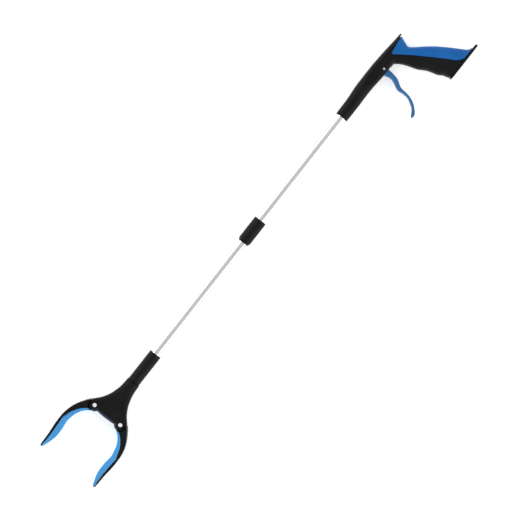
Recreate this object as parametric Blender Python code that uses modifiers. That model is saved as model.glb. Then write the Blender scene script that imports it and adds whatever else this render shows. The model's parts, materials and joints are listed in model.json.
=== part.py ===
"""Folding reacher grabber: pistol grip, trigger, two shaft tubes on a fold hinge, swivel head with two jaws.

Lies on its side: X along the shaft (jaws at -X), +Y the top of the handle, +Z up. Sizes in millimetres.
"""
import math

import bpy

# ---- driving dimensions (mm) ----
TUBE_R = 7.95
TUBE_WALL = 0.85
FRONT_TUBE_VISIBLE = 196.8
REAR_TUBE_VISIBLE = 182.1
HALF_THICK = 13.0
FIT_GAP = 0.3
SLIDE_GAP = 0.4
PIN_GAP = 0.15

SLEEVE_WALL = 0.95
SLEEVE_FRONT = 15.0
SLEEVE_BACK = 21.9
FOLD_PIN_UP = 5.0
FOLD_PIN_R = 1.0
KNUCKLE_R = 2.0
COLLAR_LONG = 2.3
SPIGOT_R = 6.3
PLUG_LONG = 24.0

NECK_LONG = 49.6
NECK_WALL = 0.95
CORD_R = 0.75
CORD_BORE_R = 2.0

PIVOT_F = 58.05
PIVOT_Y = 22.6
JAW_PIN_R = 2.0
JAW_LONG = 91.2
DRIVE_F = 1.7
DRIVE_Y = 6.8
DRIVE_PIN_R = 1.5
ROOT_R = 8.7
ROOT_HALF = 1.8
SPRING_R = 4.0
SPRING_WIRE_R = 0.55
SPRING_TURNS = 8

TRIGGER_X = 88.65
TRIGGER_Y = -5.15
TRIGGER_HALF = 7.5
TRIGGER_PIN_R = 2.0
ANCHOR_X = -2.6
ANCHOR_Y = -4.3
GRIP_LONG = 87.7
PLATE_THICK = 3.7
PLATE_X0 = 136.0
PLATE_X1 = 195.9

# ---- positions that follow ----
BORE_R = TUBE_R + SLIDE_GAP
SLEEVE_R = BORE_R + SLEEVE_WALL
TUBE_IN_R = TUBE_R - TUBE_WALL
NECK_R = TUBE_R + NECK_WALL
COLLAR_X = -(SLEEVE_FRONT + 0.15)
FRONT_TUBE_X = COLLAR_X - COLLAR_LONG
NECK_X = FRONT_TUBE_X - FRONT_TUBE_VISIBLE
SEAM_X = NECK_X - NECK_LONG
REAR_TUBE_X = SLEEVE_BACK - 1.9
NOSE_X = SLEEVE_BACK + REAR_TUBE_VISIBLE
JAW_TOP = PIVOT_Y + 28.0
X_LOW = SEAM_X - PIVOT_F - JAW_LONG
X_HIGH = NOSE_X + PLATE_X1
OFF_X = -(X_LOW + X_HIGH) / 2
OFF_Y = (GRIP_LONG - JAW_TOP) / 2
OFF_Z = HALF_THICK
MM = 0.001

for old in list(bpy.data.objects):
    bpy.data.objects.remove(old)

PARTS = bpy.data.collections.new("reacher_grabber")
CUTTERS = bpy.data.collections.new("cutters")
bpy.context.scene.collection.children.link(PARTS)
bpy.context.scene.collection.children.link(CUTTERS)
CUTTERS.hide_render = True
MATERIALS = {}


def material(name, color, rough, metal=0.0):
    """A Principled material, made once for each name."""
    if name in MATERIALS:
        return MATERIALS[name]
    mat = bpy.data.materials.new(name)
    mat.use_nodes = True
    shader = mat.node_tree.nodes["Principled BSDF"]
    shader.inputs["Base Color"].default_value = (*color, 1.0)
    shader.inputs["Roughness"].default_value = rough
    shader.inputs["Metallic"].default_value = metal
    mat.diffuse_color = (*color, 1.0)
    MATERIALS[name] = mat
    return mat


def black():
    return material("black_plastic", (0.014, 0.014, 0.014), 0.5)


def grip_blue():
    return material("grip_blue", (0.012, 0.115, 0.38), 0.55)


def pad_blue():
    return material("pad_blue", (0.055, 0.30, 0.68), 0.6)


def trigger_blue():
    return material("trigger_blue", (0.035, 0.15, 0.36), 0.4)


def navy():
    return material("navy_liner", (0.01, 0.028, 0.06), 0.6)


def alu():
    return material("tube_aluminium", (0.86, 0.86, 0.87), 0.25, 1.0)


def steel():
    return material("steel", (0.75, 0.75, 0.76), 0.3, 1.0)


def cord_grey():
    return material("cord", (0.55, 0.55, 0.53), 0.6)


def at(x, y, z):
    return ((x + OFF_X) * MM, (y + OFF_Y) * MM, (z + OFF_Z) * MM)


def mesh_object(name, points, faces, collection=None):
    """An object from millimetre points, given relative to the fold pin and the shaft's axis."""
    mesh = bpy.data.meshes.new(name)
    mesh.from_pydata([at(*p) for p in points], [], faces)
    mesh.update()
    obj = bpy.data.objects.new(name, mesh)
    (collection or CUTTERS).objects.link(obj)
    return obj


def loft(name, rings):
    """Joins rings of the same count into a closed skin, with a cap at each end."""
    n = len(rings[0])
    points = [p for ring in rings for p in ring]
    faces = []
    for k in range(len(rings) - 1):
        a = k * n
        b = a + n
        faces += [(a + i, a + (i + 1) % n, b + (i + 1) % n, b + i) for i in range(n)]
    faces.append(tuple(reversed(range(n))))
    last = (len(rings) - 1) * n
    faces.append(tuple(last + i for i in range(n)))
    obj = mesh_object(name, points, faces)
    outward(obj)
    return obj


def outward(obj):
    """Turns the faces so that the volume is positive."""
    mesh = obj.data
    mesh.calc_loop_triangles()
    total = 0.0
    for tri in mesh.loop_triangles:
        a, b, c = (mesh.vertices[i].co for i in tri.vertices)
        total += a.dot(b.cross(c))
    if total < 0:
        mesh.flip_normals()


def circle(r, n=24, turn=0.0):
    return [(r * math.cos(turn + 2 * math.pi * i / n), r * math.sin(turn + 2 * math.pi * i / n)) for i in range(n)]


def x_lathe(name, profile, n=24, y=0.0, z=0.0):
    """A turned solid about X, from (x, radius) pairs."""
    return loft(name, [[(x, y + a, z + b) for a, b in circle(r, n)] for x, r in profile])


def z_rod(name, x, y, r, z0, z1, n=20):
    return loft(name, [[(x + a, y + b, z) for a, b in circle(r, n)] for z in (z0, z1)])


def z_turned(name, x, y, profile, n=20):
    """A turned solid about Z, from (z, radius) pairs."""
    return loft(name, [[(x + a, y + b, z) for a, b in circle(r, n)] for z, r in profile])


def prism(name, outline, z0, z1):
    return loft(name, [[(x, y, z) for x, y in outline] for z in (z0, z1)])


def box(name, x0, x1, y0, y1, z0, z1):
    return prism(name, [(x0, y0), (x1, y0), (x1, y1), (x0, y1)], z0, z1)


def combine(obj, other, how):
    """Adds an exact Boolean. The other object becomes a hidden helper."""
    mod = obj.modifiers.new(how.lower(), "BOOLEAN")
    mod.operation = how
    mod.solver = "EXACT"
    mod.object = other
    other.hide_render = True
    other.display_type = "WIRE"
    return obj


def cut(obj, other):
    return combine(obj, other, "DIFFERENCE")


def join(obj, other):
    return combine(obj, other, "UNION")


def keep(obj, other):
    return combine(obj, other, "INTERSECT")


def finish(obj, mat, origin):
    """Makes the object a part: its collection, material, smooth shading and origin."""
    CUTTERS.objects.unlink(obj)
    PARTS.objects.link(obj)
    obj.data.materials.clear()
    obj.data.materials.append(mat)
    for poly in obj.data.polygons:
        poly.use_smooth = True
    obj.data.set_sharp_from_angle(angle=math.radians(35))
    x, y, z = at(*origin)
    for vert in obj.data.vertices:
        vert.co.x -= x
        vert.co.y -= y
        vert.co.z -= z
    obj.location = (x, y, z)
    return obj


def bevel(obj, width, segments=2, angle=30):
    mod = obj.modifiers.new("bevel", "BEVEL")
    mod.width = width * MM
    mod.segments = segments
    mod.limit_method = "ANGLE"
    mod.angle_limit = math.radians(angle)
    return obj


def squircle(cx, half_a, half_b, n, power):
    """A superellipse's points: half_a along the first axis, half_b along the second."""
    out = []
    for i in range(n):
        t = 2 * math.pi * i / n
        c = math.cos(t)
        s = math.sin(t)
        a = half_a * math.copysign(abs(c) ** (2 / power), c)
        b = half_b * math.copysign(abs(s) ** (2 / power), s)
        out.append((cx + a, b))
    return out


def tube_line(name, points, r, n=8):
    """A round cord or wire through points, as a bevelled curve turned into a mesh."""
    data = bpy.data.curves.new(name, "CURVE")
    data.dimensions = "3D"
    data.bevel_depth = r * MM
    data.bevel_resolution = max(0, n // 4 - 1)
    data.use_fill_caps = True
    spline = data.splines.new("POLY")
    spline.points.add(len(points) - 1)
    for i, p in enumerate(points):
        spline.points[i].co = (*at(*p), 1.0)
    curve = bpy.data.objects.new(name + "_curve", data)
    CUTTERS.objects.link(curve)
    bpy.context.view_layer.update()
    graph = bpy.context.evaluated_depsgraph_get()
    mesh = bpy.data.meshes.new_from_object(curve.evaluated_get(graph))
    bpy.data.objects.remove(curve)
    obj = bpy.data.objects.new(name, mesh)
    CUTTERS.objects.link(obj)
    outward(obj)
    return obj


# ---- shaft ----
def rear_tube():
    x1 = NOSE_X + 45.0
    obj = x_lathe("rear_tube", [(REAR_TUBE_X, TUBE_R), (x1, TUBE_R)], 28)
    cut(obj, x_lathe("rear_tube_in", [(REAR_TUBE_X - 1, TUBE_IN_R), (x1 + 1, TUBE_IN_R)], 28))
    cut(obj, z_rod("rear_tube_hole", NOSE_X + 34, 4.5, 1.5, -9, 9))
    return finish(obj, alu(), (NOSE_X, 0, 0))


def front_tube():
    x0 = SEAM_X + 3.3
    obj = x_lathe("front_tube", [(x0, TUBE_R), (FRONT_TUBE_X, TUBE_R)], 28)
    cut(obj, x_lathe("front_tube_in", [(x0 - 1, TUBE_IN_R), (FRONT_TUBE_X + 1, TUBE_IN_R)], 28))
    cut(obj, z_rod("front_tube_hole", SEAM_X + 30, 4.5, 1.5, -9, 9))
    return finish(obj, alu(), (0, FOLD_PIN_UP, 0))


def tube_pin(name, x, half, origin):
    obj = z_turned(name, x, 4.5, [(-half, 0.9), (-half + 0.3, 1.2), (half - 0.3, 1.2), (half, 0.9)], 12)
    return finish(obj, steel(), origin)


def lock_sleeve():
    x0 = -SLEEVE_FRONT
    x1 = SLEEVE_BACK
    r = SLEEVE_R
    profile = [(x0, r - 0.5), (x0 + 0.6, r), (x1 - 0.5, r), (x1, r - 0.4)]
    obj = x_lathe("lock_sleeve", profile, 32)
    cut(obj, x_lathe("sleeve_bore", [(x0 - 1, BORE_R), (x1 + 1, BORE_R)], 32))
    return finish(obj, black(), (x0, 0, 0))


def rear_hinge_insert():
    """Plug in the rear tube, a full-width barrel under the sleeve, and two side knuckles."""
    r = TUBE_R - 0.1
    plug = TUBE_IN_R - 0.15
    profile = [(0.15, r), (REAR_TUBE_X - FIT_GAP, r), (REAR_TUBE_X - FIT_GAP, plug)]
    profile.append((REAR_TUBE_X + PLUG_LONG, plug))
    obj = x_lathe("rear_hinge_insert", profile, 28)
    cut(obj, box("rear_relief", -1, REAR_TUBE_X - 0.1 - FIT_GAP, FOLD_PIN_UP, 12, -12, 12))
    join(obj, z_rod("rear_knuckle", 0, FOLD_PIN_UP, KNUCKLE_R, -3.8, 3.8))
    cut(obj, z_rod("rear_slot_round", 0, FOLD_PIN_UP, KNUCKLE_R + 0.4, -1.8, 1.8))
    cut(obj, z_rod("rear_pin_hole", 0, FOLD_PIN_UP, FOLD_PIN_R + PIN_GAP, -6, 6, 16))
    cut(obj, x_lathe("rear_cord_bore", [(-3, CORD_BORE_R), (REAR_TUBE_X + PLUG_LONG + 1, CORD_BORE_R)], 16))
    return finish(obj, black(), (0, FOLD_PIN_UP, 0))


def front_hinge_insert():
    """Plug in the front tube, chamfered collar, slim spigot under the sleeve and the middle knuckle."""
    plug = TUBE_IN_R - 0.15
    x0 = FRONT_TUBE_X - PLUG_LONG
    xc = COLLAR_X
    r = SLEEVE_R - 0.7
    profile = [(x0, plug), (FRONT_TUBE_X + 0.1, plug), (FRONT_TUBE_X + 0.1, TUBE_R - 0.2)]
    profile += [(xc - 0.7, r), (xc, r), (xc, SPIGOT_R), (-0.15, SPIGOT_R)]
    obj = x_lathe("front_hinge_insert", profile, 28)
    cut(obj, box("front_relief", xc + 0.3, 1, FOLD_PIN_UP, 12, -12, 12))
    for z0, z1, tag in ((1.5, 12, "a"), (-12, -1.5, "b")):
        cut(obj, z_rod("front_slot_" + tag, 0, FOLD_PIN_UP, KNUCKLE_R + 0.4, z0, z1))
    join(obj, z_rod("front_knuckle", 0, FOLD_PIN_UP, KNUCKLE_R, -1.5, 1.5))
    cut(obj, z_rod("front_pin_hole", 0, FOLD_PIN_UP, FOLD_PIN_R + PIN_GAP, -6, 6, 16))
    cut(obj, x_lathe("front_cord_bore", [(x0 - 1, CORD_BORE_R), (3, CORD_BORE_R)], 16))
    return finish(obj, black(), (0, FOLD_PIN_UP, 0))


def hinge_pin():
    obj = z_rod("hinge_pin", 0, FOLD_PIN_UP, FOLD_PIN_R, -3.75, 3.75, 16)
    return finish(obj, steel(), (0, FOLD_PIN_UP, 0))


# ---- pull cord ----
def cord_anchor():
    return (NOSE_X + TRIGGER_X + ANCHOR_X, TRIGGER_Y + ANCHOR_Y)


def pull_cord_rear():
    ax, ay = cord_anchor()
    points = [(0.5, 0, 0), (NOSE_X + 30, 0, 0), (NOSE_X + 40, -0.7, 0), (NOSE_X + 52, -2.8, 0)]
    points += [(NOSE_X + 74, ay + 1.6, 0), (ax - 2.2, ay, 0)]
    obj = tube_line("pull_cord_rear", points, CORD_R)
    return finish(obj, cord_grey(), (ax, 0, 0))


def pull_cord_front():
    x0 = SEAM_X - PIVOT_F + 9.0
    obj = tube_line("pull_cord_front", [(x0, 0, 0), (-0.5, 0, 0)], CORD_R)
    return finish(obj, cord_grey(), (x0, 0, 0))


# ---- handle ----
BODY = [
    (0.0, 9.3, -9.3, 9.3, 2.0),
    (24.6, 9.7, -9.5, 10.0, 2.1),
    (45.5, 11.4, -9.0, 11.6, 2.4),
    (60.0, 11.6, -9.3, 13.4, 2.8),
    (80.3, 11.6, -10.6, 14.0, 3.0),
    (101.2, 10.7, -11.4, 14.0, 3.0),
    (115.1, 9.7, -11.0, 14.0, 3.0),
    (129.0, 8.5, -6.5, 13.6, 3.0),
    (142.3, 7.7, 2.6, 12.4, 3.0),
]
GRIP = [
    (4.2, 97.0, 140.6),
    (-5.6, 99.4, 136.9),
    (-12.5, 104.6, 135.0),
    (-20.2, 109.8, 140.2),
    (-29.2, 113.7, 148.5),
    (-41.8, 117.9, 158.7),
    (-51.5, 123.5, 165.2),
    (-58.5, 126.3, 169.7),
    (-68.9, 129.3, 175.9),
    (-75.2, 133.2, 179.6),
    (-80.7, 134.9, 183.5),
    (-83.7, 135.6, 189.0),
]
OVER = [
    (111.6, -1.4), (112.3, 0.2), (122.1, 1.7), (138.8, 4.2), (150.0, 5.6), (230.0, 5.0), (230.0, -90.0),
    (176.0, -90.0), (168.0, -83.5), (159.7, -76.6), (154.1, -66.8), (143.0, -48.7), (129.0, -26.4), (119.3, -12.5),
]


def grip_y(y):
    """Scales the grip's lower stations with its length."""
    return y * GRIP_LONG / 87.7 if y < -20 else y


def tube_more(x, full, none):
    """How much a skin over the tube grows with it: all of it up to `full`, nothing from `none` on."""
    return (TUBE_R - 7.95) * min(1.0, max(0.0, (none - x) / (none - full)))


def handle_body(tag):
    rings = []
    for x, top, low, half, power in BODY:
        mid = (top + low) / 2
        more = tube_more(x, 46.0, 80.0)
        ring = squircle(mid, (top - low) / 2 + more, half + more, 26, power)
        rings.append([(NOSE_X + x, y, z) for y, z in ring])
    return loft("handle_body_" + tag, rings)


def grip_stations(shrink):
    """The grip's stations with its two ends drawn in, or run on straight where shrink is negative."""
    rows = [(grip_y(y), x0, x1) for y, x0, x1 in GRIP]
    if shrink < 0:
        return [(rows[0][0] - shrink, *rows[0][1:])] + rows + [(rows[-1][0] + shrink, *rows[-1][1:])]
    for end, near in ((0, 1), (-1, -2)):
        a, b = rows[end], rows[near]
        t = shrink / abs(a[0] - b[0])
        rows[end] = tuple(p + (q - p) * t for p, q in zip(a, b))
    return rows


def grip_solid(name, inset, shrink=0.0, grow=0.0):
    """The grip's skin, drawn in at its back and sides by inset, and shrunk at its two ends."""
    rings = []
    for y, x0, x1 in grip_stations(shrink):
        front = x0 + inset * 0.3 - grow
        back = x1 - inset + grow
        half = 14.2 - inset + grow
        ring = squircle((front + back) / 2, (back - front) / 2, half, 26, 2.6)
        rings.append([(NOSE_X + x, y, z) for x, z in ring])
    return loft(name, rings)


def over_prism(name, grow):
    """The region that the overmould covers; grow pushes its front edge forward by that much."""
    points = []
    for x, y in OVER:
        forward = grow if x < 170 else 0.0
        up = grow if (y > -1 and x > 111) else 0.0
        points.append((NOSE_X + x - (forward if up == 0 else 0), grip_y(y) + up))
    return prism(name, points, -20, 20)


def handle_shell(name, side):
    """Half of the casing: side is +1 for the upper half, -1 for the lower."""
    tag = "up" if side > 0 else "low"
    z0, z1 = (0.15, HALF_THICK) if side > 0 else (-HALF_THICK, -0.15)
    obj = handle_body(tag)
    obj.name = name
    join(obj, grip_solid("shell_grip_" + tag, 0.0))
    cut(obj, over_prism("shell_over_" + tag, FIT_GAP))
    join(obj, grip_solid("shell_core_" + tag, 2.4, 0.6))
    keep(obj, box("half_" + tag, NOSE_X - 1, NOSE_X + 220, -GRIP_LONG - 5, 30, z0, z1))
    n = NOSE_X
    cut(obj, x_lathe("tube_seat_" + tag, [(n - 1, TUBE_R + FIT_GAP), (n + 45.3, TUBE_R + FIT_GAP)], 28))
    cut(obj, prism("cord_way_" + tag, [(n + 44, -4.5), (n + 84, -10.4), (n + 84, 0.0), (n + 44, 4.0)], -2.2, 2.2))
    cx = n + TRIGGER_X
    half = TRIGGER_HALF + 0.4
    cut(obj, z_rod("trigger_room_" + tag, cx, TRIGGER_Y, 6.7, -half, half, 28))
    slot = [(cx - 6.2, TRIGGER_Y), (cx - 5.6, -16.0), (cx + 12.5, -16.0), (cx + 6.4, TRIGGER_Y)]
    cut(obj, prism("trigger_slot_" + tag, slot, -half, half))
    cut(obj, z_rod("trigger_pin_hole_" + tag, cx, TRIGGER_Y, TRIGGER_PIN_R + PIN_GAP, -20, 20))
    cut(obj, z_rod("tube_pin_hole_" + tag, n + 34, 4.5, 1.5, -9.2, 9.2, 16))
    pocket = [(n + 116, -24), (n + 128, -24), (n + 153, -70), (n + 160, -77), (n + 139, -77), (n + 126, -48)]
    pocket = [(x, grip_y(y)) for x, y in pocket]
    cut(obj, prism("pocket_" + tag, pocket, -9.5, 9.5))
    front = [(n + 53, 4.5), (n + 53, 8.6), (n + 76, 8.6), (n + 76, 4.5)]
    cut(obj, prism("front_pocket_" + tag, front, -9.5, 9.5))
    if side > 0:
        cut(obj, box("witness_" + tag, n + 24.2, n + 25.0, -5.6, 5.6, 9.2 + tube_more(24.6, 46.0, 80.0), 20))
    for i, (x, y) in enumerate(handle_screws()):
        profile = [(-20, 3.2), (-9.5, 3.2), (-9.5, 1.8), (8.6, 1.8)]
        cut(obj, z_turned("screw_hole_" + tag + str(i), x, y, profile, 16))
    return finish(obj, black(), (NOSE_X, 0, 0))


def handle_screws():
    n = NOSE_X
    return [(n + 49.0, 6.6 + tube_more(49.0, 46.0, 80.0)), (n + 108.5, 1.0), (n + 121.0, grip_y(-30.0)), (n + 147.0, grip_y(-80.5))]


def screw(name, x, y, z_head, z_tip, origin):
    """A pan-head screw pointing up, with a cross recess in its head."""
    profile = [(z_head, 2.3), (z_head + 0.5, 2.8), (z_head + 1.7, 2.8), (z_head + 1.7, 1.5), (z_tip - 0.8, 1.5)]
    profile.append((z_tip, 0.6))
    obj = z_turned(name, x, y, profile, 14)
    cut(obj, box(name + "_slot", x - 1.7, x + 1.7, y - 0.35, y + 0.35, z_head - 1, z_head + 0.7))
    cut(obj, box(name + "_cross", x - 0.35, x + 0.35, y - 1.7, y + 1.7, z_head - 1, z_head + 0.7))
    return finish(obj, steel(), origin)


def grip_overmould():
    obj = grip_solid("grip_overmould", 0.0)
    keep(obj, over_prism("over_region", 0.0))
    keep(obj, box("over_slab", NOSE_X + 90, NOSE_X + 220, -GRIP_LONG - 5, 20, -HALF_THICK, HALF_THICK))
    cut(obj, grip_solid("over_core", 2.4, -1.0, FIT_GAP))
    body = handle_body("over")
    return finish(cut(obj, body_below(body)), grip_blue(), (NOSE_X, 0, 0))


def body_below(body):
    """The part of the casing that stays black inside the grip's upper end."""
    keep(body, box("over_body_keep", NOSE_X + 90, NOSE_X + 112.0, -20, 30, -20, 20))
    return body


def grip_end_plate():
    low = -GRIP_LONG
    x0 = NOSE_X + PLATE_X0
    x1 = NOSE_X + PLATE_X1
    ring = squircle((x0 + x1) / 2, (x1 - x0) / 2, HALF_THICK, 36, 4.5)
    stations = [(low, 0.6), (low + 0.6, 0.0), (low + PLATE_THICK - 1.0, 0.0), (low + PLATE_THICK, 0.8)]
    rings = []
    for y, inset in stations:
        k = 1 - inset / 20
        mid = (x0 + x1) / 2
        rings.append([(mid + (x - mid) * k, y, z * k) for x, z in ring])
    return finish(loft("grip_end_plate", rings), black(), (NOSE_X, 0, 0))


# ---- trigger ----
TRIGGER = [
    (83.3, -3.5), (83.3, -11.1), (85.2, -19.5), (83.8, -26.4), (80.3, -33.4), (78.2, -39.0), (78.9, -47.3),
    (78.2, -55.7), (74.7, -62.6), (69.9, -69.6), (60.8, -75.2), (60.0, -77.2), (62.2, -78.6), (66.4, -77.3),
    (72.0, -72.4), (77.5, -65.4), (81.0, -57.1), (82.4, -48.7), (83.1, -40.4), (85.9, -34.8), (89.4, -29.2),
    (91.5, -20.9), (92.6, -11.1), (92.6, -3.5),
]


def trigger():
    cx = NOSE_X + TRIGGER_X
    lever = prism("trigger", [(NOSE_X + x, y) for x, y in TRIGGER], -TRIGGER_HALF, TRIGGER_HALF)
    bevel(lever, 0.9)
    join(lever, z_rod("trigger_hub", cx, TRIGGER_Y, 5.9, -TRIGGER_HALF, TRIGGER_HALF, 28))
    cut(lever, z_rod("trigger_bore", cx, TRIGGER_Y, TRIGGER_PIN_R + PIN_GAP, -20, 20))
    ax, ay = cord_anchor()
    cut(lever, z_rod("ferrule_seat", ax, ay, 1.7, -3.3, 3.3, 16))
    wedge = [(ax + 0.4, ay - 1.6), (ax - 9, ay - 1.6), (ax - 9, ay + 8.6), (ax - 5, ay + 8.6), (ax + 0.4, ay + 1.6)]
    cut(lever, prism("cord_slot", wedge, -1.4, 1.4))
    return finish(lever, trigger_blue(), (cx, TRIGGER_Y, 0))


def trigger_pin():
    profile = [(-12.4, 1.7), (-12.1, 2.0), (12.1, 2.0), (12.4, 1.7)]
    obj = z_turned("trigger_pin", NOSE_X + TRIGGER_X, TRIGGER_Y, profile)
    return finish(obj, steel(), (NOSE_X + TRIGGER_X, TRIGGER_Y, 0))


def cord_ferrule():
    ax, ay = cord_anchor()
    obj = z_turned("cord_ferrule", ax, ay, [(-3.0, 1.2), (-2.8, 1.4), (2.8, 1.4), (3.0, 1.2)], 14)
    return finish(obj, steel(), (NOSE_X + TRIGGER_X, TRIGGER_Y, 0))


# ---- head ----
def fx(f):
    """Distance forward of the swivel seam, as an X."""
    return SEAM_X - f


def neck_sleeve():
    profile = [(fx(9.8), 6.9), (fx(9.4), 7.4), (fx(7.6), 7.4), (fx(7.6), 6.0), (fx(-0.15), 6.0)]
    profile += [(fx(-0.15), NECK_R - 0.3), (fx(-0.5), NECK_R), (NECK_X - 0.4, NECK_R), (NECK_X, NECK_R - 0.4)]
    obj = x_lathe("neck_sleeve", profile, 28)
    r = TUBE_R + 0.25
    cut(obj, x_lathe("neck_bore", [(fx(-3.0), r), (NECK_X + 1, r)], 28))
    cut(obj, x_lathe("neck_cord_bore", [(fx(11), CORD_BORE_R), (fx(-4), CORD_BORE_R)], 16))
    cut(obj, z_rod("neck_pin_hole", SEAM_X + 30, 4.5, 1.5, -NECK_R - 1, NECK_R + 1, 16))
    return finish(obj, black(), (SEAM_X, 0, 0))


HEAD = [
    (0.15, 9.5, 9.5, 2.0),
    (8.0, 9.7, 9.5, 2.1),
    (15.6, 10.6, 9.3, 2.4),
    (22.0, 12.0, 9.2, 2.8),
    (29.5, 14.3, 9.1, 3.2),
    (36.5, 17.5, 9.0, 4.0),
    (43.4, 21.5, 9.0, 5.0),
    (50.0, 27.0, 9.0, 6.0),
    (56.0, 32.0, 9.0, 7.0),
    (70.0, 36.0, 9.0, 8.0),
]


def head_outline():
    """The casing seen from above: flared sides, round ears about the jaw pivots, a seat for the liner between them."""
    side = [(0.0, 11.0), (15.6, 12.0), (29.5, 16.0), (36.5, 19.0), (43.4, 23.0), (48.5, 27.3)]
    ear = []
    for deg in range(125, -75, -13):
        a = math.radians(deg)
        ear.append((PIVOT_F + 8.8 * math.cos(a), PIVOT_Y + 8.8 * math.sin(a)))
    ear = [p for p in ear if p[1] > 15.0]
    upper = side + ear + [(62.45, 14.0), (62.6, 13.0), (62.7, 12.1), (61.9, 12.1), (60.3, 10.8), (60.0, 9.2)]
    lower = [(f, -y) for f, y in reversed(upper)]
    return [(fx(f), y) for f, y in upper + lower]


def head_shell(name, side):
    tag = "hu" if side > 0 else "hl"
    rings = []
    for f, wide, half, power in HEAD:
        more = tube_more(f, 0.2, 43.0)
        rings.append([(fx(f), y, z) for y, z in squircle(0, wide + more, half + more, 32, power)])
    obj = loft(name, rings)
    keep(obj, prism("head_plan_" + tag, head_outline(), -12, 12))
    z0, z1 = (0.15, 12) if side > 0 else (-12, -0.15)
    keep(obj, box("head_half_" + tag, fx(80), fx(-1), -40, 40, z0, z1))
    way = [(36, 9.5), (47, 9.5), (48.3, 16), (48.3, 45), (80, 45), (80, -45), (48.3, -45), (48.3, -16), (47, -9.5)]
    way = [(fx(f), y) for f, y in way + [(36, -9.5)]]
    room = prism("jaw_room_" + tag, way, -4.5, 4.5)
    cut(room, box("web_keep_" + tag, fx(62.5), fx(58.0), -8.0, 8.0, -6, 6))
    cut(obj, room)
    cut(obj, x_lathe("spring_room_" + tag, [(fx(37), 5.2), (fx(9), 5.2)], 20))
    cut(obj, x_lathe("flange_room_" + tag, [(fx(10.2), 7.75), (fx(7.2), 7.75)], 28))
    cut(obj, x_lathe("spigot_room_" + tag, [(fx(8), 6.3), (fx(-1), 6.3)], 28))
    for sign in (1, -1):
        hole = z_rod("jaw_pin_hole_%s%d" % (tag, sign), fx(PIVOT_F), sign * PIVOT_Y, JAW_PIN_R + PIN_GAP, -12, 12)
        cut(obj, hole)
        x, y = head_screw_spot(sign)
        profile = [(-20, 3.1), (-6.5, 3.1), (-6.5, 1.8), (7.4, 1.8)]
        cut(obj, z_turned("head_screw_hole_%s%d" % (tag, sign), x, y, profile, 14))
    return finish(obj, black(), (SEAM_X, 0, 0))


def head_screw_spot(sign):
    return fx(42.5), sign * 14.2


def throat_liner():
    """A soft strip set in the head's throat, between the jaws."""
    front = [(62.9, -11.8), (63.15, -9.0), (63.25, -5.0), (63.25, 5.0), (63.15, 9.0), (62.9, 11.8)]
    back = [(62.15, 11.8), (60.55, 10.55), (60.25, 9.0), (60.25, -9.0), (60.55, -10.55), (62.15, -11.8)]
    obj = prism("throat_liner", [(fx(f), y) for f, y in front + back], -8.8, 8.8)
    return finish(obj, navy(), (SEAM_X, 0, 0))


def crosshead():
    """The slider that the cord pulls: a block with two plates on each side of the jaw roots."""
    obj = box("crosshead", fx(56.0), fx(44.0), -8.2, 8.2, -4.2, 4.2)
    for sign in (1, -1):
        x0, y0 = fx(53.5), sign * 6.0
        x1, y1 = fx(PIVOT_F + DRIVE_F), sign * (PIVOT_Y - DRIVE_Y)
        length = math.hypot(x1 - x0, y1 - y0)
        nx, ny = -(y1 - y0) / length * 2.25, (x1 - x0) / length * 2.25
        arm = [(x0 + nx, y0 + ny), (x1 + nx, y1 + ny), (x1 - nx, y1 - ny), (x0 - nx, y0 - ny)]
        join(obj, prism("cross_arm%d" % sign, arm, -4.05, 4.05))
        join(obj, z_rod("cross_eye%d" % sign, x1, y1, 2.4, -4.15, 4.15, 20))
        slot = z_rod("cross_gap%d" % sign, fx(PIVOT_F), sign * PIVOT_Y, 14.2, -2.1, 2.1, 32)
        cut(obj, slot)
        cut(obj, z_rod("cross_hole%d" % sign, x1, y1, DRIVE_PIN_R + PIN_GAP, -9, 9, 16))
    cut(obj, x_lathe("cross_cord", [(fx(50.5), 1.2), (fx(43), 1.2)], 12))
    return finish(obj, black(), (SEAM_X, 0, 0))


def drive_pin(name, sign):
    obj = z_rod(name, fx(PIVOT_F + DRIVE_F), sign * (PIVOT_Y - DRIVE_Y), DRIVE_PIN_R, -4.0, 4.0, 16)
    return finish(obj, steel(), (SEAM_X, 0, 0))


def return_spring():
    """Compression spring round the cord, between the neck's flange and the crosshead."""
    steps = SPRING_TURNS * 12
    x0 = fx(10.2) - SPRING_WIRE_R
    x1 = fx(43.6) + SPRING_WIRE_R
    points = []
    for i in range(steps + 1):
        a = 2 * math.pi * i / 12
        points.append((x0 + (x1 - x0) * i / steps, SPRING_R * math.cos(a), SPRING_R * math.sin(a)))
    return finish(tube_line("return_spring", points, SPRING_WIRE_R), steel(), (SEAM_X, 0, 0))


FINGER_OUT = [
    (53.8, 31.0), (58.5, 35.0), (64.3, 39.0), (72.0, 43.7), (81.0, 47.6), (92.2, 50.2), (103.3, 50.6), (113.0, 50.1),
    (127.0, 48.8), (140.0, 48.4), (146.8, 48.3),
]
FINGER_IN = [
    (148.9, 46.6), (145.1, 46.7), (133.9, 45.8), (120.0, 46.2), (106.1, 47.0), (99.1, 47.4), (92.2, 45.3),
    (85.0, 43.0), (78.2, 39.3), (71.3, 33.8), (65.8, 27.0), (62.0, 22.0),
]
PAD_OUT = [
    (149.2, 46.2), (145.1, 46.4), (133.9, 45.5), (120.0, 45.9), (106.1, 46.7), (99.2, 47.1), (92.4, 45.0),
    (85.2, 42.7), (78.4, 39.0), (71.6, 33.5), (67.2, 27.9),
]
PAD_IN = [
    (66.0, 18.6), (67.0, 21.6), (70.0, 26.5), (73.8, 30.3), (78.0, 33.2), (84.4, 36.2), (92.2, 38.1), (99.1, 39.4),
    (106.1, 39.0), (113.0, 38.1), (120.0, 37.8), (127.0, 38.1), (133.9, 39.5), (141.0, 41.9), (147.8, 44.4),
]


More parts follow.
